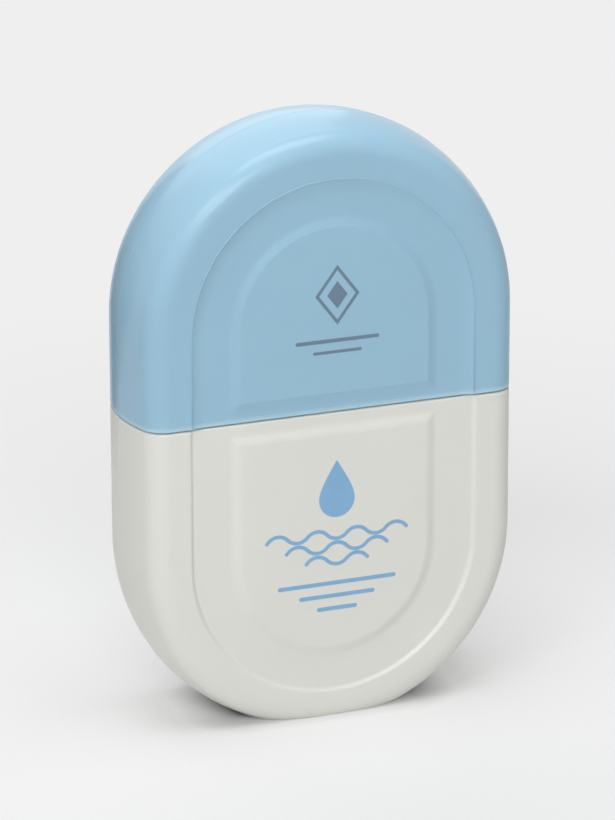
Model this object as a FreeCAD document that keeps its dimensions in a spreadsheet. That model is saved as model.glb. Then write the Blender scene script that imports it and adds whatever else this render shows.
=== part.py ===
import FreeCAD, Part
import os
import re
import Sketcher

# A flat, pebble-shaped sunscreen bottle with a pull-off cap. The front faces -Y, the base stands on z = 0.
# Driving dimensions in millimetres.
dimensions = {
    # outside form, shared by bottle and cap
    "half_width": 33.0,
    "half_depth": 10.7,
    "overall_height": 100.0,
    "side_radius": 26.0,
    "corner_radius": 3.8,
    "base_cut": 3.5,
    # line where the cap meets the bottle
    "cap_height": 47.7,
    "half_gap": 0.12,
    "shoulder_round": 0.4,
    "rim_bevel": 0.15,
    # relief on the front and back: a sunk field with a raised panel in it
    "recess_margin": 8.5,
    "recess_depth": 0.45,
    "recess_overrun": 3.0,
    "panel_margin": 8.3,
    "panel_height": 0.55,
    "panel_corner_round": 1.5,
    "bottle_recess_half_slope": 0.22,
    "bottle_recess_shift": 0.5,
    "bottle_recess_round": 0.5,
    "bottle_panel_bevel": 1.35,
    "bottle_panel_shift": 1.2,
    "bottle_panel_drop": 3.4,
    "bottle_panel_round": 2.0,
    "cap_recess_inset": 0.8,
    "cap_recess_half_slope": 0.65,
    "cap_mouth_round": 0.3,
    "cap_bed_round": 6.0,
    "cap_panel_bevel": 1.5,
    "cap_panel_shift": 0.3,
    "cap_panel_rise": 3.5,
    "cap_foot_round": 2.0,
    "cap_crest_round": 0.7,
    # bottle
    "bottle_wall": 1.2,
    "cavity_corner": 2.6,
    "base_floor": 2.2,
    "dish_depth": 0.8,
    "dish_half_width": 10.0,
    "dish_half_depth": 6.4,
    "dish_side": 8.0,
    "dish_corner": 2.5,
    "shoulder_wall": 1.4,
    "spigot_height": 6.0,
    "spigot_round": 0.8,
    "spigot_bore_corner": 1.2,
    "neck_radius": 6.0,
    "neck_bore_radius": 4.8,
    "neck_height": 6.0,
    "bead_height": 0.3,
    "bead_half_length": 0.6,
    "bead_drop": 1.6,
    # nozzle
    "nozzle_fit": 0.05,
    "skirt_wall": 0.9,
    "skirt_length": 5.5,
    "flange_thickness": 1.0,
    "tip_height": 4.5,
    "tip_base_radius": 4.2,
    "tip_radius": 2.0,
    "orifice_radius": 0.9,
    # cap and its insert
    "cap_wall": 1.8,
    "cap_inner_corner": 2.0,
    "cap_fit": 0.2,
    "plate_gap": 0.5,
    "plate_thickness": 1.5,
    "plate_fit": 0.05,
    "sleeve_gap": 0.5,
    "sleeve_wall": 1.0,
    "sleeve_roof": 1.4,
    "liner_thickness": 1.2,
    "liner_fit": 0.05,
    "seal_gap": 0.2,
    "web_place": 18.0,
    "web_half_thickness": 0.6,
    "web_root": 0.6,
    "web_height": 14.0,
    # lotion
    "fill_drop": 3.4,
    "fill_clearance": 0.05,
}

# places and widths that follow from them
derived = {
    "lower_centre": "=half_width - base_cut",
    "upper_centre": "=overall_height - half_width",
    "parting_height": "=overall_height - cap_height",
    "recess_half_width": "=half_width - recess_margin",
    "cap_recess_half_width": "=recess_half_width - cap_recess_inset",
    "panel_half_width": "=recess_half_width - panel_margin",
    "bottle_recess_centre": "=lower_centre - bottle_recess_shift",
    "bottle_panel_centre": "=lower_centre - bottle_panel_shift",
    "cap_panel_centre": "=upper_centre + cap_panel_shift",
    "fill_level": "=parting_height - fill_drop",
}

match_tolerance = 0.001

doc = FreeCAD.newDocument("SunscreenBottle")
sizes = doc.addObject("Spreadsheet::Sheet", "Sizes")
for row, (name, value) in enumerate({**dimensions, **derived}.items(), start=1):
    sizes.set(f"A{row}", name)
    sizes.set(f"B{row}", str(value))
    sizes.setAlias(f"B{row}", name)
doc.recompute()


# A formula here is a sum of sizes from the sheet, such as "half_width - cap_wall".
def bound(formula):
    return re.sub(r"[a-z_]+", lambda word: "Sizes." + word.group(), formula)


def amount(formula):
    terms = re.findall(r"(-?)\s*([a-z_]+)", formula)
    return sum(-sizes.get(name) if sign else sizes.get(name) for sign, name in terms)


def plane(body, role):
    return next(item for item in body.Origin.OriginFeatures if item.Role == role)


def new_body(label):
    body = doc.addObject("PartDesign::Body", label)
    body.Label = label
    return body


def new_sketch(body, name, role, level=""):
    sketch = body.newObject("Sketcher::SketchObject", name)
    sketch.AttachmentSupport = [(plane(body, role), "")]
    sketch.MapMode = "FlatFace"
    if level:
        sketch.setExpression("AttachmentOffset.Base.z", bound(level))
    return sketch


def dimension(sketch, kind, formula, *places):
    index = sketch.addConstraint(Sketcher.Constraint(kind, *places, amount(formula)))
    sketch.setExpression(f"Constraints[{index}]", bound(formula))


# A sketch's own origin is point 1 of element -1, its level axis element -1 and its upright axis element -2.
def dimension_from_origin(sketch, kind, formula, edge, point):
    dimension(sketch, kind, formula, -1, 1, edge, point)


def centre_on_origin(sketch, edge):
    sketch.addConstraint(Sketcher.Constraint("Symmetric", edge, 1, edge, 2, -1, 1))


def put_on_axis(sketch, axis, edge, point):
    element = {"across": -1, "upright": -2}[axis]
    sketch.addConstraint(Sketcher.Constraint("PointOnObject", edge, point, element))


def join(sketch, kind, *pairs):
    for first, second in pairs:
        sketch.addConstraint(Sketcher.Constraint(kind, first, 2, second, 1))


def arc(centre_x, centre_y, radius, start, end):
    circle = Part.Circle(FreeCAD.Vector(centre_x, centre_y), FreeCAD.Vector(0, 0, 1), radius)
    return Part.ArcOfCircle(circle, start, end)


def line(start_x, start_y, end_x, end_y):
    return Part.LineSegment(FreeCAD.Vector(start_x, start_y), FreeCAD.Vector(end_x, end_y))


# A straight-sided outline whose corners are formulas; an empty formula puts the corner on an axis.
def polygon(body, name, role, corners, level=""):
    sketch = new_sketch(body, name, role, level)
    points = [tuple(amount(formula) if formula else 0.0 for formula in corner) for corner in corners]
    for number, point in enumerate(points):
        sketch.addGeometry(line(*point, *points[(number + 1) % len(points)]))
    join(sketch, "Coincident", *((number, (number + 1) % len(points)) for number in range(len(points))))
    for number, corner in enumerate(corners):
        for formula, kind, axis in zip(corner, ("DistanceX", "DistanceY"), ("upright", "across")):
            if formula:
                dimension_from_origin(sketch, kind, formula, number, 1)
            else:
                put_on_axis(sketch, axis, number, 1)
    return sketch


# Half of the level section: flat front and back, small corner arcs and one bowed side. Its outline gives
# the place of the bow's centre, the half depth, the corner radius and the bow's radius.
def half_section(body, name, level, outline):
    sketch = new_sketch(body, name, "XY_Plane", level)
    side_x, depth, corner, side = (amount(formula) for formula in outline)
    corner_y = depth - corner
    corner_x = side_x + ((side - corner) ** 2 - corner_y ** 2) ** 0.5
    lean = FreeCAD.Vector(corner_x - side_x, corner_y).getAngle(FreeCAD.Vector(1, 0))
    quarter = FreeCAD.Vector(0, 1).getAngle(FreeCAD.Vector(1, 0))
    sketch.addGeometry(line(0, depth, 0, -depth))
    sketch.addGeometry(line(0, -depth, corner_x, -depth))
    sketch.addGeometry(arc(corner_x, -corner_y, corner, -quarter, -lean))
    sketch.addGeometry(arc(side_x, 0, side, -lean, lean))
    sketch.addGeometry(arc(corner_x, corner_y, corner, lean, quarter))
    sketch.addGeometry(line(corner_x, depth, 0, depth))
    middle, front, front_corner, bow, back_corner, back = range(6)
    join(sketch, "Coincident", (back, middle), (middle, front))
    join(sketch, "Tangent", (front, front_corner), (front_corner, bow))
    join(sketch, "Tangent", (bow, back_corner), (back_corner, back))
    put_on_axis(sketch, "upright", middle, 1)
    centre_on_origin(sketch, middle)
    sketch.addConstraint(Sketcher.Constraint("Horizontal", front))
    sketch.addConstraint(Sketcher.Constraint("Horizontal", back))
    sketch.addConstraint(Sketcher.Constraint("Equal", front_corner, back_corner))
    put_on_axis(sketch, "across", bow, 3)
    bow_place, depth, corner, side = outline
    dimension_from_origin(sketch, "DistanceX", bow_place, bow, 3)
    dimension_from_origin(sketch, "DistanceY", depth, middle, 1)
    dimension(sketch, "Radius", corner, front_corner)
    dimension(sketch, "Radius", side, bow)
    return sketch


# An arch seen from the front: a half circle, two straight sides and one straight edge.
def arch(body, name, level, half_width, centre, edge, upward):
    sketch = new_sketch(body, name, "XZ_Plane", level)
    width, middle, end = amount(half_width), amount(centre), amount(edge)
    turn = FreeCAD.Vector(-1, 0).getAngle(FreeCAD.Vector(1, 0))
    if upward:
        sketch.addGeometry(arc(0, middle, width, 0, turn))
        left, right = -width, width
    else:
        sketch.addGeometry(arc(0, middle, width, turn, 2 * turn))
        left, right = width, -width
    sketch.addGeometry(line(left, middle, left, end))
    sketch.addGeometry(line(left, end, right, end))
    sketch.addGeometry(line(right, end, right, middle))
    crown, first_side, base, second_side = range(4)
    join(sketch, "Tangent", (second_side, crown), (crown, first_side))
    join(sketch, "Coincident", (first_side, base), (base, second_side))
    sketch.addConstraint(Sketcher.Constraint("Vertical", first_side))
    sketch.addConstraint(Sketcher.Constraint("Vertical", second_side))
    sketch.addConstraint(Sketcher.Constraint("Horizontal", base))
    put_on_axis(sketch, "upright", crown, 3)
    dimension(sketch, "Radius", half_width, crown)
    dimension_from_origin(sketch, "DistanceY", centre, crown, 3)
    dimension_from_origin(sketch, "DistanceY", edge, base, 1)
    return sketch


def feature(body, kind, name, profile, length="", **settings):
    item = body.newObject("PartDesign::" + kind, name)
    item.Profile = profile
    if length:
        item.setExpression("Length", bound(length))
    for setting, value in settings.items():
        setattr(item, setting, value)
    return item


# A level slab with the half section on both sides, added by a Pad or taken away by a Pocket.
def slab(body, name, kind, profile, length):
    half = feature(body, kind, name + "_half", profile, length, Reversed=kind == "Pocket")
    whole = body.newObject("PartDesign::Mirrored", name)
    whole.Originals = [half]
    whole.MirrorPlane = (plane(body, "YZ_Plane"), [""])
    body.Tip = whole


# The rounded end: the half section turned half a circle about the level axis through the outline's centre.
def round_end(body, name, kind, profile, upward):
    axis = (profile, ["V_Axis"])
    return feature(body, kind, name, profile, ReferenceAxis=axis, Angle=180, Reversed=upward)


def lathe(body, name, kind, corners):
    profile = polygon(body, name + "_profile", "XZ_Plane", corners)
    return feature(body, kind, name, profile, ReferenceAxis=(profile, ["V_Axis"]), Angle=360)


def edge_names(shape, wanted):
    return [f"Edge{number}" for number, edge in enumerate(shape.Edges, start=1) if wanted(edge.Vertexes)]


def near(value, formula):
    return abs(value - amount(formula)) < match_tolerance


# Bevels or rounds the edges of the newest feature whose ends all answer to a test.
def ease_edges(body, kind, name, wanted, setting, formula):
    doc.recompute()
    base = body.Tip
    item = body.newObject("PartDesign::" + kind, name)
    item.Base = (base, edge_names(base.Shape, wanted))
    item.setExpression(setting, bound(formula))


def ease_level_edges(body, kind, name, height, setting, formula):
    def level(ends):
        return all(near(end.Z, height) for end in ends)

    ease_edges(body, kind, name, level, setting, formula)


# Rounds the panel's corners: the edges that climb from its foot to its crest.
def round_corners(body, name, foot_edge, panel_edge, radius):
    def climbs(ends):
        return any(near(end.Z, foot_edge) for end in ends) and any(near(end.Z, panel_edge) for end in ends)

    ease_edges(body, "Fillet", name, climbs, "Radius", radius)


# Rounds the edges of one arch of the relief, front and back, but not where it meets the parting line.
def round_arch(body, name, depth, half_width, parting, radius):
    def on_arch(ends):
        at_depth = all(near(abs(end.Y), depth) for end in ends)
        at_width = all(near(abs(end.X), half_width) for end in ends)
        return at_depth and at_width and not all(near(end.Z, parting) for end in ends)

    ease_edges(body, "Fillet", name, on_arch, "Radius", radius)


# heights that several pieces share
shoulder = "parting_height - half_gap"
deck = shoulder + " + spigot_height"
neck_top = deck + " + neck_height"
flange_top = neck_top + " + flange_thickness"
tip_top = flange_top + " + tip_height"
cap_rim = "parting_height + half_gap"
plate_bottom = deck + " + plate_gap"
plate_top = plate_bottom + " + plate_thickness"
liner_bottom = tip_top + " + seal_gap"
sleeve_ceiling = liner_bottom + " + liner_thickness"
sleeve_top = sleeve_ceiling + " + sleeve_roof"


def outline(inset, corner):
    return ("half_width - side_radius", "half_depth" + inset, corner, "side_radius" + inset)


outside = outline("", "corner_radius")
cap_inside = outline(" - cap_wall", "cap_inner_corner")
spigot_outside = outline(" - cap_wall - cap_fit", "cap_inner_corner - cap_fit")
plate_outside = outline(" - cap_wall - plate_fit", "cap_inner_corner - plate_fit")
spigot_inside = outline(" - cap_wall - cap_fit - bottle_wall", "spigot_bore_corner")
bottle_inside = outline(" - bottle_wall", "cavity_corner")
lotion_outside = outline(" - bottle_wall - fill_clearance", "cavity_corner - fill_clearance")


# The lower half: straight sides, a round bottom and a flat cut across it at the given height.
def lower_form(body, name, section, top, floor=""):
    profile = half_section(body, name + "_section", "lower_centre", section)
    slab(body, name + "_sides", "Pad", profile, top + " - lower_centre")
    round_end(body, name + "_bottom", "Revolution", profile, upward=False)
    corners = [("-half_width", "-half_depth"), ("half_width", "-half_depth"),
               ("half_width", "half_depth"), ("-half_width", "half_depth")]
    cut = polygon(body, name + "_floor_plan", "XY_Plane", corners, floor)
    feature(body, "Pocket", name + "_floor", cut, "half_width")


# The sunk field and the raised panel in it, on the front and on the back. An arch of the relief has
# a depth from the middle plane, a half width, the height of its centre and that of its straight edge.
def relief(body, name, arches, parting, upward, rounds):
    for face, sign in (("front", ""), ("back", "-")):
        outlines = {}
        for part, (depth, half_width, centre, edge) in arches.items():
            mark = f"{name}_{face}_{part}"
            outlines[part] = arch(body, mark, f"{sign}({depth})", half_width, centre, edge, upward)
        feature(body, "SubtractiveLoft", f"{name}_{face}_field", outlines["mouth"],
                Sections=[outlines["bed"]], Ruled=True)
        feature(body, "AdditiveLoft", f"{name}_{face}_panel", outlines["foot"],
                Sections=[outlines["crest"]], Ruled=True)
    round_corners(body, f"{name}_panel_corners", arches["foot"][3], arches["crest"][3], "panel_corner_round")
    for part, radius in rounds.items():
        depth, half_width = arches[part][:2]
        round_arch(body, f"{name}_{part}_round", depth, half_width, parting, radius)


field_floor = "half_depth - recess_depth"
panel_face = field_floor + " + panel_height"

# Bottle body
bottle_form = new_body("bottle_form")
lower_form(bottle_form, "bottle", outside, shoulder)
bottle_field_edge = shoulder + " + recess_overrun"
bottle_panel_edge = "parting_height - bottle_panel_drop"
bottle_arches = {
    "mouth": ("half_depth", "recess_half_width + bottle_recess_half_slope", "bottle_recess_centre",
              bottle_field_edge),
    "bed": (field_floor, "recess_half_width - bottle_recess_half_slope", "bottle_recess_centre",
            bottle_field_edge),
    "foot": (field_floor, "panel_half_width + bottle_panel_bevel", "bottle_panel_centre",
             bottle_panel_edge + " + bottle_panel_bevel"),
    "crest": (panel_face, "panel_half_width", "bottle_panel_centre", bottle_panel_edge),
}
relief(bottle_form, "bottle", bottle_arches, shoulder, upward=False,
       rounds={"mouth": "bottle_recess_round", "bed": "bottle_recess_round",
               "foot": "bottle_panel_round", "crest": "bottle_panel_round"})
ease_level_edges(bottle_form, "Fillet", "shoulder_edge", shoulder, "Radius", "shoulder_round")
dish = half_section(bottle_form, "dish_section", "",
                    ("dish_half_width - dish_side", "dish_half_depth", "dish_corner", "dish_side"))
slab(bottle_form, "dish", "Pocket", dish, "dish_depth")
spigot = half_section(bottle_form, "spigot_section", shoulder, spigot_outside)
slab(bottle_form, "spigot", "Pad", spigot, "spigot_height")
ease_level_edges(bottle_form, "Fillet", "spigot_edge", deck, "Radius", "spigot_round")
bead = neck_top + " - bead_drop"
lathe(bottle_form, "neck", "Revolution",
      [("", deck), ("neck_radius", deck), ("neck_radius", bead + " - bead_half_length"),
       ("neck_radius + bead_height", bead), ("neck_radius", bead + " + bead_half_length"),
       ("neck_radius", neck_top), ("", neck_top)])

bottle_cavity = new_body("bottle_cavity")
lower_form(bottle_cavity, "cavity", bottle_inside, shoulder + " - shoulder_wall", "base_floor")
spigot_bore = half_section(bottle_cavity, "spigot_bore_section", "lower_centre", spigot_inside)
slab(bottle_cavity, "spigot_bore", "Pad", spigot_bore, deck + " - shoulder_wall - lower_centre")
lathe(bottle_cavity, "neck_bore", "Revolution",
      [("", "lower_centre"), ("neck_bore_radius", "lower_centre"),
       ("neck_bore_radius", neck_top), ("", neck_top)])

bottle_body = doc.addObject("Part::Cut", "bottle_body")
bottle_body.Base = bottle_form
bottle_body.Tool = bottle_cavity

# Nozzle insert: a plug in the neck, a flange on the neck's rim and a cone with a fine hole
nozzle_insert = new_body("nozzle_insert")
skirt_bottom = neck_top + " - skirt_length"
skirt_outside = "neck_bore_radius - nozzle_fit"
skirt_inside = skirt_outside + " - skirt_wall"
lathe(nozzle_insert, "nozzle", "Revolution",
      [(skirt_inside, skirt_bottom), (skirt_outside, skirt_bottom), (skirt_outside, neck_top),
       ("neck_radius", neck_top), ("neck_radius", flange_top), ("tip_base_radius", flange_top),
       ("tip_radius", tip_top), ("orifice_radius", tip_top), ("orifice_radius", flange_top),
       (skirt_inside, neck_top)])

# Lotion: what the bottle holds, up to its fill level
lotion_fill = new_body("lotion_fill")
lower_form(lotion_fill, "lotion", lotion_outside, "fill_level", "base_floor + fill_clearance")

# Cap shell: straight sides and a round top, hollow, with two cross webs that stop the insert
cap_shell = new_body("cap_shell")
rim_section = half_section(cap_shell, "rim_section", cap_rim, outside)
slab(cap_shell, "cap_sides", "Pad", rim_section, "upper_centre - parting_height - half_gap")
crown_section = half_section(cap_shell, "crown_section", "upper_centre", outside)
round_end(cap_shell, "crown", "Revolution", crown_section, upward=True)
cap_field_edge = cap_rim + " - recess_overrun"
cap_panel_edge = "parting_height + cap_panel_rise"
cap_arches = {
    "mouth": ("half_depth", "cap_recess_half_width + cap_recess_half_slope", "upper_centre", cap_field_edge),
    "bed": (field_floor, "cap_recess_half_width - cap_recess_half_slope", "upper_centre", cap_field_edge),
    "foot": (field_floor, "panel_half_width + cap_panel_bevel", "cap_panel_centre",
             cap_panel_edge + " - cap_panel_bevel"),
    "crest": (panel_face, "panel_half_width", "cap_panel_centre", cap_panel_edge),
}
relief(cap_shell, "cap", cap_arches, cap_rim, upward=True,
       rounds={"mouth": "cap_mouth_round", "bed": "cap_bed_round",
               "foot": "cap_foot_round", "crest": "cap_crest_round"})
ease_level_edges(cap_shell, "Chamfer", "rim_edge", cap_rim, "Size", "rim_bevel")
hollow_section = half_section(cap_shell, "hollow_section", cap_rim, cap_inside)
slab(cap_shell, "hollow_sides", "Pocket", hollow_section, "upper_centre - parting_height - half_gap")
hollow_crown_section = half_section(cap_shell, "hollow_crown_section", "upper_centre", cap_inside)
round_end(cap_shell, "hollow_crown", "Groove", hollow_crown_section, upward=True)
web_end = "half_depth - cap_wall + web_root"
web_start = "-half_depth + cap_wall - web_root"
for side, place in (("left", "-web_place"), ("right", "web_place")):
    web_left = place + " - web_half_thickness"
    web_right = place + " + web_half_thickness"
    web = polygon(cap_shell, side + "_web_plan", "XY_Plane",
                  [(web_left, web_start), (web_right, web_start), (web_right, web_end), (web_left, web_end)],
                  plate_top)
    feature(cap_shell, "Pad", side + "_web", web, "web_height")

# Cap insert: an oval plate that closes the shell, with a closed sleeve over the neck and nozzle
cap_insert = new_body("cap_insert")
plate_section = half_section(cap_insert, "plate_section", plate_bottom, plate_outside)
slab(cap_insert, "plate", "Pad", plate_section, "plate_thickness")
sleeve_inside = "neck_radius + sleeve_gap"
sleeve_outside = sleeve_inside + " + sleeve_wall"
lathe(cap_insert, "sleeve", "Revolution",
      [("", plate_bottom), (sleeve_outside, plate_bottom), (sleeve_outside, sleeve_top), ("", sleeve_top)])
lathe(cap_insert, "sleeve_bore", "Groove",
      [("", plate_bottom), (sleeve_inside, plate_bottom),
       (sleeve_inside, sleeve_ceiling), ("", sleeve_ceiling)])

# Seal liner: the soft disc at the end of the sleeve, just above the nozzle's hole
seal_liner = new_body("seal_liner")
liner_radius = sleeve_inside + " - liner_fit"
lathe(seal_liner, "liner", "Revolution",
      [("", liner_bottom), (liner_radius, liner_bottom),
       (liner_radius, sleeve_ceiling), ("", sleeve_ceiling)])

doc.recompute()
for item in doc.Objects:
    if "Invalid" in item.State or "Error" in item.State:
        raise RuntimeError(f"{item.Label} failed: {item.State}")

pieces = (bottle_body, nozzle_insert, lotion_fill, cap_shell, cap_insert, seal_liner)
for piece in pieces:
    if piece.Shape.isNull() or not piece.Shape.isValid() or len(piece.Shape.Solids) != 1:
        raise RuntimeError(f"{piece.Label} is not one valid solid")

os.makedirs("parts", exist_ok=True)
for piece in pieces:
    piece.Shape.exportStep(f"parts/{piece.Label}.step")
    print(f"{piece.Label}: {piece.Shape.Volume / 1000:.2f} cubic centimetres")
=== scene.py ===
from math import cos, pi, radians, sin

import bpy
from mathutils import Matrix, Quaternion, Vector


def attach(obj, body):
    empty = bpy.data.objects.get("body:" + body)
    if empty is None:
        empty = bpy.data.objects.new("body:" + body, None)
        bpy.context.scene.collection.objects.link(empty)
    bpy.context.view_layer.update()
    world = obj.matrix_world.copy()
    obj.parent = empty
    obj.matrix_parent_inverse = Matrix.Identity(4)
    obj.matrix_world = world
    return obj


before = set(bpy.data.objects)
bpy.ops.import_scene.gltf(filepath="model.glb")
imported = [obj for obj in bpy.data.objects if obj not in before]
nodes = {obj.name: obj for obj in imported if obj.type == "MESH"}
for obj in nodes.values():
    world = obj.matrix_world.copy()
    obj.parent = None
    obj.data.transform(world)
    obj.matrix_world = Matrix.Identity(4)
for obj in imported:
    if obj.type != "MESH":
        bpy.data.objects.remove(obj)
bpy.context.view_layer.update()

mm = 0.001
hair = 0.001 * mm  # anything closer is the same place


# mesh helpers

def deselectAll():
    if bpy.context.object and bpy.context.object.mode != "OBJECT":
        bpy.ops.object.mode_set(mode="OBJECT")
    bpy.ops.object.select_all(action="DESELECT")


def everything(place):
    return True


def pick(piece, wanted):
    # edit mode, with the vertices at the wanted places selected
    bpy.ops.object.mode_set(mode="OBJECT")
    for part in (piece.data.polygons, piece.data.edges):
        part.foreach_set("select", [False] * len(part))
    for vertex in piece.data.vertices:
        vertex.select = wanted(vertex.co)
    bpy.ops.object.mode_set(mode="EDIT")
    bpy.ops.mesh.select_mode(type="VERT")


def fixPlace(name):
    # names the newest primitive and puts its place and turn into its mesh
    piece = bpy.context.object
    piece.name = piece.data.name = name
    bpy.ops.object.transform_apply(location=True, rotation=True, scale=True)
    return piece


def resize(piece, value, centre):
    pick(piece, everything)
    bpy.ops.transform.resize(value=value, center_override=centre)


def extrudeBy(step):
    bpy.ops.mesh.extrude_region_move(TRANSFORM_OT_translate=dict(value=step))


def applyModifier(piece, kind, **settings):
    bpy.ops.object.mode_set(mode="OBJECT")
    modifier = piece.modifiers.new(kind.title(), kind)
    for setting, value in settings.items():
        setattr(modifier, setting, value)
    bpy.ops.object.modifier_apply(modifier=modifier.name)


def mergeAndTurnOut(piece):
    pick(piece, everything)
    bpy.ops.mesh.remove_doubles(threshold=hair)
    bpy.ops.mesh.normals_make_consistent(inside=False)
    bpy.ops.object.mode_set(mode="OBJECT")


def joinAll(pieces):
    deselectAll()
    for piece in pieces:
        piece.select_set(True)
    bpy.context.view_layer.objects.active = pieces[0]
    bpy.ops.object.join()
    return pieces[0]


def finishPiece(piece, body, material):
    piece.data.materials.clear()
    piece.data.materials.append(material)
    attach(piece, body)


# material nodes

skinHeight = 0.1 * mm


def addNode(tree, kind, **settings):
    node = tree.nodes.new(kind)
    for socket, value in settings.items():
        node.inputs[socket].default_value = value
    return node


def objectNoise(tree, size, detail=4.0, rough=0.55):
    place = addNode(tree, "ShaderNodeTexCoord")
    noise = addNode(tree, "ShaderNodeTexNoise", Scale=1 / size, Detail=detail, Roughness=rough)
    tree.links.new(place.outputs["Object"], noise.inputs["Vector"])
    return noise.outputs["Fac"]


def remap(tree, source, low, high, fromLow=0.3, fromHigh=0.7):
    node = addNode(tree, "ShaderNodeMapRange")
    for socket, value in zip(("From Min", "From Max", "To Min", "To Max"), (fromLow, fromHigh, low, high)):
        node.inputs[socket].default_value = value
    tree.links.new(source, node.inputs["Value"])
    return node.outputs["Result"]


def mixColour(tree, factor, first, second):
    mix = addNode(tree, "ShaderNodeMix")
    mix.data_type = "RGBA"
    tree.links.new(factor, mix.inputs["Factor"])
    for socket, colour in (("A", first), ("B", second)):
        if isinstance(colour, tuple):
            mix.inputs[socket].default_value = (*colour, 1)
        else:
            tree.links.new(colour, mix.inputs[socket])
    return mix.outputs["Result"]


def heightBand(tree, start, end):
    # 0 at the start height and 1 at the end height
    place = addNode(tree, "ShaderNodeTexCoord")
    axes = addNode(tree, "ShaderNodeSeparateXYZ")
    tree.links.new(place.outputs["Object"], axes.inputs[0])
    return remap(tree, axes.outputs["Z"], 0, 1, start, end)


def mouldedPlastic(name, finish):
    # base colour with a faint cloudiness, mottled gloss and a fine moulded skin, and, where the finish gives
    # one, a band of painted light near an edge
    material = bpy.data.materials.new(name)
    material.use_nodes = True
    tree = material.node_tree
    shader = tree.nodes["Principled BSDF"]
    shader.inputs["IOR"].default_value = finish["ior"]
    shader.inputs["Specular IOR Level"].default_value = finish["shine"]
    shader.inputs["Subsurface Weight"].default_value = finish["glow"]
    shader.inputs["Subsurface Radius"].default_value = finish["glowReach"]
    shader.inputs["Subsurface Scale"].default_value = mm
    if "polish" in finish:
        shader.inputs["Coat Weight"].default_value = finish["polish"]["weight"]
        shader.inputs["Coat Roughness"].default_value = finish["polish"]["rough"]
        shader.inputs["Coat IOR"].default_value = finish["polish"]["ior"]

    cloud = remap(tree, objectNoise(tree, finish["cloud"]), 0, 1)
    colour = mixColour(tree, cloud, finish["shade"], finish["colour"])
    # painted light: over a band of heights the base colour blends into the colour given for that band
    if "edge" in finish:
        edge = finish["edge"]
        colour = mixColour(tree, heightBand(tree, edge["start"], edge["end"]), colour, edge["colour"])
    tree.links.new(colour, shader.inputs["Base Color"])

    mottle = remap(tree, objectNoise(tree, finish["mottle"]), *finish["gloss"])
    tree.links.new(mottle, shader.inputs["Roughness"])

    skin = addNode(tree, "ShaderNodeBump", Strength=finish["skinDepth"], Distance=skinHeight)
    tree.links.new(objectNoise(tree, finish["skin"], detail=2), skin.inputs["Height"])
    tree.links.new(skin.outputs["Normal"], shader.inputs["Normal"])
    return material


def dress(node, material):
    nodes[node].data.materials.clear()
    nodes[node].data.materials.append(material)


# CAD nodes: one dictionary of finishes for the six pieces

finishes = {
    "bottle_body": dict(colour=(0.782, 0.782, 0.737), shade=(0.768, 0.768, 0.723), ior=1.5, shine=0.2,
                        glow=0.05, glowReach=(1.2, 1.1, 0.9), gloss=(0.32, 0.38), cloud=18 * mm,
                        mottle=4 * mm, skin=0.35 * mm, skinDepth=0.06,
                        # painted warm bounce light from the floor, along the bottle's bottom edge
                        edge=dict(start=0.9 * mm, end=0.1 * mm, colour=(0.755, 0.73, 0.66))),
    "cap_shell": dict(colour=(0.338, 0.55, 0.70), shade=(0.328, 0.536, 0.685), ior=1.5, shine=0.06,
                      glow=0.05, glowReach=(0.6, 0.9, 1.2), gloss=(0.31, 0.34), cloud=16 * mm, mottle=4 * mm,
                      skin=0.35 * mm, skinDepth=0.06,
                      polish=dict(weight=0.45, rough=0.17, ior=1.4),
                      # painted highlight on the cap's lower rim, lighter towards the parting line
                      edge=dict(start=53.4 * mm, end=52.4 * mm, colour=(0.50, 0.71, 0.82))),
    "nozzle_insert": dict(colour=(0.82, 0.82, 0.80), shade=(0.79, 0.79, 0.765), ior=1.5, shine=0.4, glow=0.1,
                          glowReach=(1.0, 1.0, 0.9), gloss=(0.30, 0.38), cloud=6 * mm, mottle=2 * mm,
                          skin=0.3 * mm, skinDepth=0.05),
    "cap_insert": dict(colour=(0.80, 0.80, 0.78), shade=(0.77, 0.77, 0.745), ior=1.5, shine=0.4, glow=0.1,
                       glowReach=(1.0, 1.0, 0.9), gloss=(0.32, 0.42), cloud=9 * mm, mottle=3 * mm,
                       skin=0.35 * mm, skinDepth=0.06),
    "seal_liner": dict(colour=(0.86, 0.85, 0.81), shade=(0.80, 0.79, 0.75), ior=1.45, shine=0.3, glow=0.1,
                       glowReach=(1.0, 0.9, 0.8), gloss=(0.62, 0.75), cloud=1.5 * mm, mottle=0.8 * mm,
                       skin=0.25 * mm, skinDepth=0.4),
    "lotion_fill": dict(colour=(0.90, 0.87, 0.79), shade=(0.88, 0.84, 0.75), ior=1.4, shine=0.5, glow=0.2,
                        glowReach=(1.5, 1.2, 0.8), gloss=(0.12, 0.2), cloud=7 * mm, mottle=5 * mm,
                        skin=3 * mm, skinDepth=0.05),
}
plastics = {node: mouldedPlastic(node + "_plastic", finish) for node, finish in finishes.items()}
for node, material in plastics.items():
    dress(node, material)
print("CAD nodes dressed")


# prints: thin coats of ink on the two panels

panelFace = -10.8 * mm
facingFront = (pi / 2, 0, 0)
coat = dict(thickness=0.05 * mm, ior=1.5, shine=0.2, glow=0.0, glowReach=(1, 1, 1), gloss=(0.34, 0.42),
            cloud=3 * mm, mottle=2 * mm, skin=0.12 * mm, skinDepth=0.1)
inks = {
    "blue": mouldedPlastic("blue_ink", dict(colour=(0.235, 0.452, 0.69), shade=(0.255, 0.475, 0.70), **coat)),
    "grey": mouldedPlastic("grey_ink", dict(colour=(0.155, 0.235, 0.318), shade=(0.17, 0.25, 0.335), **coat)),
}


endRound = dict(rule=0.45, wave=0.4, segments=4)  # share of the line's width


def coatOfInk(piece, body, ink):
    # half of the coat sinks into the panel
    applyModifier(piece, "SOLIDIFY", thickness=coat["thickness"], offset=0)
    mergeAndTurnOut(piece)
    finishPiece(piece, body, inks[ink])


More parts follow.
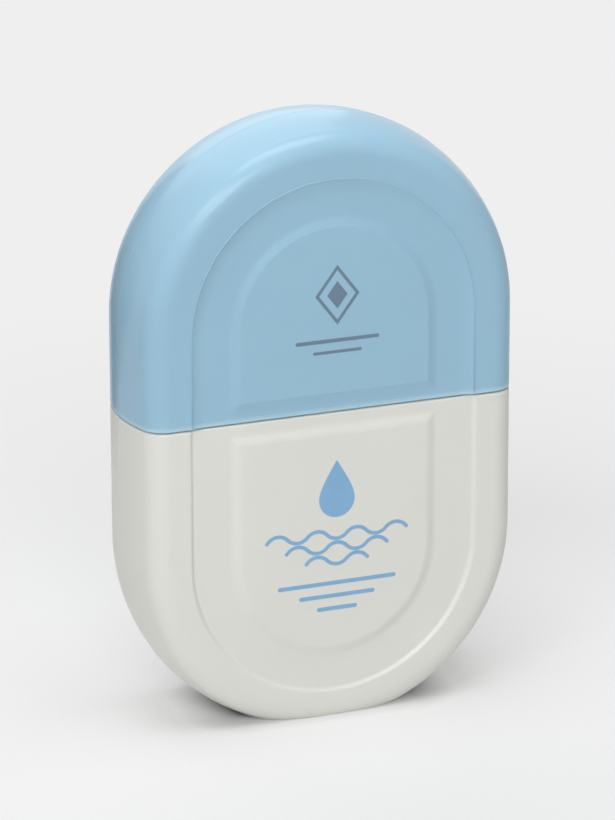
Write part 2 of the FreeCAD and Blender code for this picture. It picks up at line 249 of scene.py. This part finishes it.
def makeRule(name, width, height, middle):
    deselectAll()
    centre = (middle[0], panelFace, middle[1])
    bpy.ops.mesh.primitive_plane_add(size=1, location=centre, rotation=facingFront)
    piece = fixPlace(name)
    resize(piece, (width, 1, height), centre)
    bpy.ops.mesh.bevel(affect="VERTICES", offset=endRound["rule"] * height, segments=endRound["segments"])
    bpy.ops.object.mode_set(mode="OBJECT")
    return piece


def makeLozenge(name, reach, line):
    # a four-cornered ring, or a filled lozenge where no line width is given
    deselectAll()
    centre = (capPrint["middle"][0], panelFace, capPrint["middle"][1])
    fill = "NOTHING" if line else "NGON"
    bpy.ops.mesh.primitive_circle_add(vertices=4, radius=reach, fill_type=fill, location=centre,
                                      rotation=facingFront)
    piece = fixPlace(name)
    if line:
        pick(piece, everything)
        extrudeBy((0, 0, 0))
        bpy.ops.transform.resize(value=[1 - line / reach] * 3, center_override=centre)
    resize(piece, (capPrint["slim"], 1, 1), centre)
    bpy.ops.object.mode_set(mode="OBJECT")
    return piece


# cap print: a lozenge over two plain rules

capPrint = dict(middle=(0.4 * mm, 72.2 * mm), slim=0.76, rings=((5.0 * mm, 0.85 * mm), (2.3 * mm, 0)),
                rules=((14.4 * mm, 0.62 * mm, 64.6 * mm), (8.4 * mm, 0.5 * mm, 62.7 * mm)))
lozenges = [makeLozenge("cap_lozenge_print", reach, line) for reach, line in capPrint["rings"]]
coatOfInk(joinAll(lozenges), "cap", "grey")
capRules = [makeRule("cap_rule_print", width, height, (capPrint["middle"][0], level))
            for width, height, level in capPrint["rules"]]
coatOfInk(joinAll(capRules), "cap", "grey")


# bottle print: a drop above waves, and plain rules under them

dropPrint = dict(middle=(0.3 * mm, 37.6 * mm), radius=3.1 * mm, points=64, pull=3.6 * mm, pullReach=4.3 * mm)
deselectAll()
centre = (dropPrint["middle"][0], panelFace, dropPrint["middle"][1])
bpy.ops.mesh.primitive_circle_add(vertices=dropPrint["points"], radius=dropPrint["radius"], fill_type="NGON",
                                  location=centre, rotation=facingFront)
drop = fixPlace("bottle_drop_print")
tip = max(vertex.co.z for vertex in drop.data.vertices)
pick(drop, lambda place: place.z > tip - hair)
bpy.ops.transform.translate(value=(0, 0, dropPrint["pull"]), use_proportional_edit=True,
                            proportional_edit_falloff="SHARP", proportional_size=dropPrint["pullReach"])
coatOfInk(drop, "bottle", "blue")

wavePrint = dict(middle=0.3 * mm, width=0.62 * mm, bend=2.3 * mm, lean=radians(48), arcSteps=14,
                 rows=((7, 31.6 * mm), (5, 29.4 * mm), (3, 27.2 * mm)))


def makeWave(arcs, level):
    # a short stub, then its end edge is spun round one arc after the other
    width, bend, lean = wavePrint["width"], wavePrint["bend"], wavePrint["lean"]
    halfArc = bend * sin(lean)
    start = wavePrint["middle"] - arcs * halfArc
    ahead = Vector((cos(lean), 0, sin(lean)))
    stub = Vector((start, panelFace, level)) - ahead * width / 2
    deselectAll()
    bpy.ops.mesh.primitive_plane_add(size=width, location=stub, rotation=(pi / 2, -lean, 0))
    piece = fixPlace("bottle_wave_print")
    pick(piece, lambda place: (place - stub).dot(ahead) > 0)
    for arc in range(arcs):
        turn = 1 if arc % 2 == 0 else -1
        centre = (start + (2 * arc + 1) * halfArc, panelFace, level - turn * bend * cos(lean))
        bpy.ops.mesh.spin(steps=wavePrint["arcSteps"], angle=-turn * 2 * lean, center=centre, axis=(0, 1, 0))
    extrudeBy((width * cos(lean), 0, -turn * width * sin(lean)))
    ends = [Vector((start, panelFace, level)), Vector((start + 2 * arcs * halfArc, panelFace, level))]
    pick(piece, lambda place: all((place - end).length > width for end in ends)
         and (place.x < ends[0].x or place.x > ends[1].x))
    bpy.ops.mesh.bevel(affect="VERTICES", offset=endRound["wave"] * width, segments=endRound["segments"])
    bpy.ops.object.mode_set(mode="OBJECT")
    return piece


coatOfInk(joinAll([makeWave(arcs, level) for arcs, level in wavePrint["rows"]]), "bottle", "blue")

rulePrint = dict(middle=0.3 * mm, rows=((20.6 * mm, 0.7 * mm, 23.2 * mm), (13.2 * mm, 0.7 * mm, 21.0 * mm),
                                        (7.0 * mm, 0.7 * mm, 18.8 * mm)))
bottleRules = [makeRule("bottle_rule_print", width, height, (rulePrint["middle"], level))
               for width, height, level in rulePrint["rows"]]
coatOfInk(joinAll(bottleRules), "bottle", "blue")
print("prints laid on the panels")


# mould seams: a hair-fine bead round the narrow sides, where the two halves of the mould met

capSeam = dict(radius=0.05 * mm, points=8, side=-32.97 * mm, low=52.6 * mm, turnHeight=67 * mm, arcSteps=96)
bottleSeam = dict(radius=0.05 * mm, points=8, side=-32.975 * mm, high=51.7 * mm,
                  turnHeight=29.5 * mm, arcSteps=96, cut=0.1 * mm)


def makeSeam(name, seam, end):
    # a small ring runs along one side, round the end of the outline and back along the other side
    deselectAll()
    bpy.ops.mesh.primitive_circle_add(vertices=seam["points"], radius=seam["radius"], fill_type="NGON",
                                      location=(seam["side"], seam.get("depth", 0), end))
    piece = fixPlace(name)
    pick(piece, everything)
    run = seam["turnHeight"] - end
    extrudeBy((0, 0, run))
    turn = pi if run > 0 else -pi
    bpy.ops.mesh.spin(steps=seam["arcSteps"], angle=-turn, center=(0, 0, seam["turnHeight"]), axis=(0, 1, 0))
    extrudeBy((0, 0, -run))
    return piece


capLine = makeSeam("cap_mould_seam", capSeam, capSeam["low"])
mergeAndTurnOut(capLine)
bpy.ops.object.shade_smooth()
finishPiece(capLine, "cap", plastics["cap_shell"])
bottleLine = makeSeam("bottle_mould_seam", bottleSeam, bottleSeam["high"])
pick(bottleLine, everything)
bpy.ops.mesh.bisect(plane_co=(0, 0, bottleSeam["cut"]), plane_no=(0, 0, 1), clear_inner=True, use_fill=True,
                    threshold=hair)
mergeAndTurnOut(bottleLine)
bpy.ops.object.shade_smooth()
finishPiece(bottleLine, "bottle", plastics["bottle_body"])

# recess lip: the fine raised edge of the cap's sunk field, on the front and on the back
recessLip = dict(radius=0.12 * mm, points=8, side=-24.38 * mm, depths=(-10.69 * mm, 10.69 * mm),
                 low=52.6 * mm, turnHeight=67 * mm, arcSteps=96)
lip = joinAll([makeSeam("cap_recess_lip", dict(recessLip, depth=depth), recessLip["low"])
               for depth in recessLip["depths"]])
mergeAndTurnOut(lip)
bpy.ops.object.shade_smooth()
finishPiece(lip, "cap", plastics["cap_shell"])

# pinch line: the weld that blow moulding leaves across the dished base
pinchLine = dict(length=17.0 * mm, width=0.5 * mm, rise=0.16 * mm, ceiling=0.8 * mm, cuts=3, endStart=0.4,
                 endSlim=0.35, endLow=0.6, soft=0.06 * mm, softSteps=3, smoothAngle=radians(40))
deselectAll()
bpy.ops.mesh.primitive_cube_add(size=1, location=(0, 0, pinchLine["ceiling"]))
weld = fixPlace("base_pinch_line")
resize(weld, (pinchLine["length"], pinchLine["width"], 2 * pinchLine["rise"]), (0, 0, pinchLine["ceiling"]))
bpy.ops.mesh.subdivide(number_cuts=pinchLine["cuts"])
for side in (-1, 1):
    pick(weld, lambda place: place.x * side > pinchLine["endStart"] * pinchLine["length"])
    bpy.ops.transform.resize(value=(1, pinchLine["endSlim"], pinchLine["endLow"]),
                             center_override=(0, 0, pinchLine["ceiling"]))
applyModifier(weld, "BEVEL", width=pinchLine["soft"], segments=pinchLine["softSteps"], limit_method="ANGLE")
mergeAndTurnOut(weld)
bpy.ops.object.shade_smooth_by_angle(angle=pinchLine["smoothAngle"])
finishPiece(weld, "bottle", plastics["bottle_body"])
print("seams and pinch line made")


# floor, light and camera

stageLook = dict(half=3.0, grey=0.863, floorColour=0.52, floorGlow=0.31, footprint=(14.5 * mm, 4.5 * mm, 0),
                 glowReach=9 * mm, shadowReach=(0.10, 0.22), below=0.05 * mm)


def backgroundRay(tree):
    path = addNode(tree, "ShaderNodeLightPath")
    shown = addNode(tree, "ShaderNodeMath")
    shown.operation = "MAXIMUM"
    seen = addNode(tree, "ShaderNodeMath")
    seen.operation = "MAXIMUM"
    tree.links.new(path.outputs["Is Camera Ray"], shown.inputs[0])
    tree.links.new(path.outputs["Is Glossy Ray"], shown.inputs[1])
    tree.links.new(shown.outputs[0], seen.inputs[0])
    tree.links.new(path.outputs["Is Transmission Ray"], seen.inputs[1])
    return seen.outputs[0]


def chainVectorMath(tree, source, steps):
    # each step is an operation on the vector before it, and the last one may give a length
    for operation, other in steps:
        node = addNode(tree, "ShaderNodeVectorMath")
        node.operation = operation
        tree.links.new(source, node.inputs[0])
        node.inputs[1].default_value = other
        source = node.outputs["Value" if operation == "LENGTH" else "Vector"]
    return source


def matteMaterial(name, grey):
    material = bpy.data.materials.new(name)
    material.use_nodes = True
    shader = material.node_tree.nodes["Principled BSDF"]
    shader.inputs["Base Color"].default_value = (*[grey] * 3, 1)
    shader.inputs["Roughness"].default_value = 1
    shader.inputs["Specular IOR Level"].default_value = 0
    return material


def floorMaterial():
    material = matteMaterial("pale_floor", stageLook["floorColour"])
    tree = material.node_tree
    shader = tree.nodes["Principled BSDF"]
    shader.inputs["Emission Color"].default_value = (1, 1, 1, 1)
    place = addNode(tree, "ShaderNodeTexCoord").outputs["Object"]
    # a glow that lifts the shadow, but not where the bottle touches the floor
    nothing = (0, 0, 0)
    away = chainVectorMath(tree, place, (("ABSOLUTE", nothing), ("SUBTRACT", stageLook["footprint"]),
                                         ("MAXIMUM", nothing), ("LENGTH", nothing)))
    glow = remap(tree, away, 0, stageLook["floorGlow"], 0, stageLook["glowReach"])
    tree.links.new(glow, shader.inputs["Emission Strength"])
    even = addNode(tree, "ShaderNodeEmission", Color=(*[stageLook["grey"]] * 3, 1))
    far = remap(tree, chainVectorMath(tree, place, (("LENGTH", nothing),)), 0, 1, *stageLook["shadowReach"])
    both = addNode(tree, "ShaderNodeMath")
    both.operation = "MULTIPLY"
    tree.links.new(far, both.inputs[0])
    tree.links.new(backgroundRay(tree), both.inputs[1])
    mix = addNode(tree, "ShaderNodeMixShader")
    tree.links.new(both.outputs[0], mix.inputs[0])
    tree.links.new(shader.outputs[0], mix.inputs[1])
    tree.links.new(even.outputs[0], mix.inputs[2])
    tree.links.new(mix.outputs[0], tree.nodes["Material Output"].inputs["Surface"])
    return material


deselectAll()
bpy.ops.mesh.primitive_plane_add(size=2 * stageLook["half"], location=(0, 0, -stageLook["below"]))
floor = fixPlace("floor")
floor.data.materials.append(floorMaterial())

# a dark card behind the left side, seen only in the sheen of the plastics
sideCard = dict(place=(-0.152, 0.1885, 0.07), turn=radians(-21.4), size=(0.26, 0.14), colour=0.04)
deselectAll()
bpy.ops.mesh.primitive_plane_add(size=1, location=sideCard["place"], rotation=(pi / 2, 0, sideCard["turn"]))
bpy.context.object.scale = (*sideCard["size"], 1)
card = fixPlace("side_card")
card.data.materials.append(matteMaterial("dark_card", sideCard["colour"]))
card.visible_camera = card.visible_diffuse = card.visible_shadow = False

worldLook = dict(grey=0.863, ambient=0.03)
world = bpy.data.worlds.new("studio")
world.use_nodes = True
bpy.context.scene.world = world
tree = world.node_tree
seen = tree.nodes["Background"]
seen.inputs["Color"].default_value = (*[worldLook["grey"]] * 3, 1)
soft = addNode(tree, "ShaderNodeBackground", Color=(1, 1, 1, 1), Strength=worldLook["ambient"])
mix = addNode(tree, "ShaderNodeMixShader")
tree.links.new(backgroundRay(tree), mix.inputs[0])
tree.links.new(soft.outputs[0], mix.inputs[1])
tree.links.new(seen.outputs[0], mix.inputs[2])
tree.links.new(mix.outputs[0], tree.nodes["World Output"].inputs["Surface"])

lampAim = (0, 0, 0.05)
lamps = {
    "topSoftbox": dict(place=(-0.03, -0.1, 1.1), size=(0.75, 0.6), power=8.0),
    "keySoftbox": dict(place=(-0.596, -0.596, 0.757), size=(0.35, 0.35), power=2.55),
    "frontSoftbox": dict(place=(-0.326, -0.895, 0.60), size=(0.45, 0.45), power=4.0),
    "backSoftbox": dict(place=(0.038, 1.096, 0.538), size=(1.1, 0.5), power=1.8),
    "highBackSoftbox": dict(place=(0, 0.771, 0.969), size=(1.0, 0.6), power=2.1),
}
for name, lamp in lamps.items():
    data = bpy.data.lights.new(name, "AREA")
    data.shape = "RECTANGLE"
    data.size, data.size_y = lamp["size"]
    data.energy = lamp["power"]
    item = bpy.data.objects.new(name, data)
    bpy.context.scene.collection.objects.link(item)
    item.location = lamp["place"]
    item.rotation_euler = (Vector(lampAim) - Vector(lamp["place"])).to_track_quat("-Z", "Y").to_euler()

shot = dict(place=(-0.27996, -0.7129, 0.3081), aim=(-0.00054, 0, 0.04951), roll=-0.139, lens=217.7,
            near=0.01)
camera = bpy.data.objects.new("camera", bpy.data.cameras.new("camera"))
bpy.context.scene.collection.objects.link(camera)
camera.data.lens = shot["lens"]
camera.data.clip_start = shot["near"]
camera.location = shot["place"]
look = (Vector(shot["aim"]) - Vector(shot["place"])).to_track_quat("-Z", "Y")
camera.rotation_euler = (look @ Quaternion((0, 0, 1), radians(shot["roll"]))).to_euler()
bpy.context.scene.camera = camera
bpy.context.scene.view_settings.view_transform = "Standard"
print("stage, lamps and camera set")
